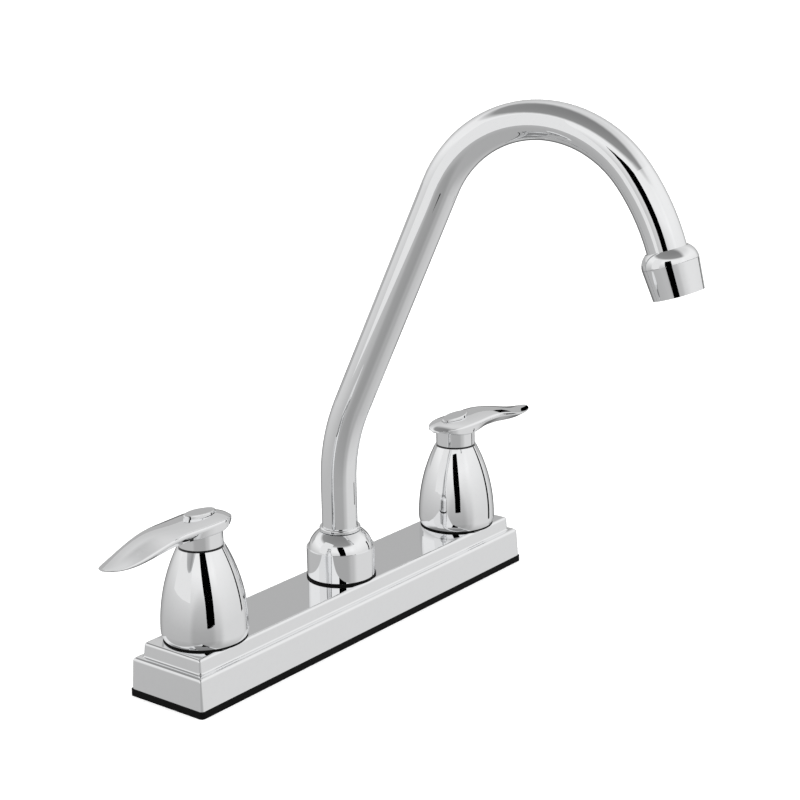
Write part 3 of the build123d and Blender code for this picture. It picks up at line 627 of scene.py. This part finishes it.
def makeWorld(look):
    # in reflections, brightness = bands(height) x (1 + gain) of each shade; all else sees the fill
    world = bpy.data.worlds.new("studio")
    scene.world = world
    world.use_nodes = True
    tree = world.node_tree
    tree.nodes.clear()
    view = addNode(tree, "ShaderNodeTexCoord", (-1200, 0)).outputs["Generated"]
    split = addNode(tree, "ShaderNodeSeparateXYZ", (-1000, 200))
    wire(tree, view, split.inputs["Vector"])
    share = addRange(tree, split.outputs["Z"], (-1.0, 1.0), (-800, 200)).outputs["Result"]
    left = addBands(tree, share, look["leftBands"], 200)
    right = addBands(tree, share, look["rightBands"], 450)
    sideways = addFade(tree, view, levelWay(look["rightTurn"]), look["rightSpan"], (0.0, 1.0), -850)
    colour = mixColours(tree, sideways, left, right, (-350, 300))

    factors = []
    for row, shade in enumerate(look["shades"].values()):
        way = roomWay(*shade["way"])
        ends = (1.0, 1.0 + shade["gain"])
        factors.append(addFade(tree, view, way, shade["span"], ends, -250 * row - 100))
    strength = factors[0]
    for column, factor in enumerate(factors[1:]):
        product = addNode(tree, "ShaderNodeMath", (-500 + 150 * column, -200), operation="MULTIPLY")
        wire(tree, strength, product.inputs[0])
        wire(tree, factor, product.inputs[1])
        strength = product.outputs["Value"]

    room = addNode(tree, "ShaderNodeBackground", (0, 200))
    wire(tree, colour, room.inputs["Color"])
    wire(tree, strength, room.inputs["Strength"])
    fill = addNode(tree, "ShaderNodeBackground", (0, 0))
    fill.inputs["Color"].default_value = (1, 1, 1, 1)
    fill.inputs["Strength"].default_value = look["fill"]
    path = addNode(tree, "ShaderNodeLightPath", (0, 600))
    choose = addNode(tree, "ShaderNodeMixShader", (250, 200))
    out = addNode(tree, "ShaderNodeOutputWorld", (450, 200))
    wire(tree, path.outputs["Is Glossy Ray"], choose.inputs["Fac"])
    wire(tree, fill.outputs["Background"], choose.inputs[1])
    wire(tree, room.outputs["Background"], choose.inputs[2])
    wire(tree, choose.outputs["Shader"], out.inputs["Surface"])


makeWorld(roomLook)
print("room shaded")

# upright cards that only reflections see; turn is where a card stands, in degrees from the camera's
# direction to its right, away its distance from the origin, and edges are (height, left, right)
cards = {
    "dark_card": {
        "turn": 0.0, "away": 0.45, "grey": 0.0,
        "edges": ((-0.05, 0.016, 0.164), (0.05, 0.004, 0.162), (0.10, -0.012, 0.158),
                  (0.15, -0.030, 0.150), (0.20, -0.048, 0.140), (0.30, -0.080, 0.120),
                  (0.42, -0.11, 0.090)),
    },
    "grey_card": {
        "turn": 180.0, "away": 0.62, "grey": 0.47,
        "edges": ((0.08, -0.8, 0.8), (0.32, -0.8, 0.8)),
    },
    "left_panel": {
        "turn": -48.0, "away": 0.47, "grey": 0.84,
        "edges": ((0.06, -0.27, 0.14), (0.60, -0.27, 0.14)),
    },
    "right_flag": {
        "turn": 117.0, "away": 0.62, "grey": 0.0,
        "edges": ((-0.14, -0.03, 0.045), (0.21, -0.03, 0.045)),
    },
    "back_flag": {
        "turn": 159.0, "away": 0.61, "grey": 0.0,
        "edges": ((0.17, -0.035, 0.035), (0.29, -0.035, 0.035)),
    },
}


def glowMaterial(name, grey):
    # shines evenly with a grey of its own, and reflects nothing
    material = bpy.data.materials.new(name)
    material.use_nodes = True
    tree = material.node_tree
    tree.nodes.clear()
    glow = addNode(tree, "ShaderNodeEmission")
    glow.inputs["Color"].default_value = (1, 1, 1, 1)
    glow.inputs["Strength"].default_value = grey
    out = addNode(tree, "ShaderNodeOutputMaterial", (300, 0))
    wire(tree, glow.outputs["Emission"], out.inputs["Surface"])
    return material


def makeCard(name, card):
    # point = facing x away + sideways x edge + up x height, one row of two points for each height
    facing = np.array(levelWay(card["turn"]))
    sideways = np.array((-facing[1], facing[0], 0.0))
    up = np.array((0.0, 0.0, 1.0))
    edges = np.array(card["edges"])
    points = facing * card["away"] + sideways * edges[:, 1:, None] + up * edges[:, :1, None]
    quads = gridQuads(len(edges), 2).tolist()
    panel = newObject(name, points, quads, glowMaterial(name, card["grey"]))
    panel.visible_camera = False
    panel.visible_diffuse = False
    panel.visible_shadow = False


for name, card in cards.items():
    makeCard(name, card)
print("cards stood round the faucet")


def makeCamera(look):
    # right and up are the picture's own, after the camera's roll about the way that it looks
    rise = math.radians(look["elevation"])
    roll = math.radians(look["roll"])
    back = roomWay(math.cos(rise), 0, math.sin(rise))
    levelUp = cameraRight.cross(-back)
    right = cameraRight * math.cos(roll) + levelUp * math.sin(roll)
    up = levelUp * math.cos(roll) - cameraRight * math.sin(roll)
    place = right * look["aimRight"] + up * look["aimUp"] + back * look["distance"]
    camera = bpy.data.objects.new("camera", bpy.data.cameras.new("camera"))
    camera.data.lens = look["lens"]
    camera.data.sensor_width = look["sensor"]
    camera.data.clip_end = look["farthest"]
    axes = Matrix((right, up, back)).transposed()
    camera.matrix_world = Matrix.Translation(place) @ axes.to_4x4()
    scene.collection.objects.link(camera)
    scene.camera = camera


makeCamera(cameraSizes)
print("camera placed")
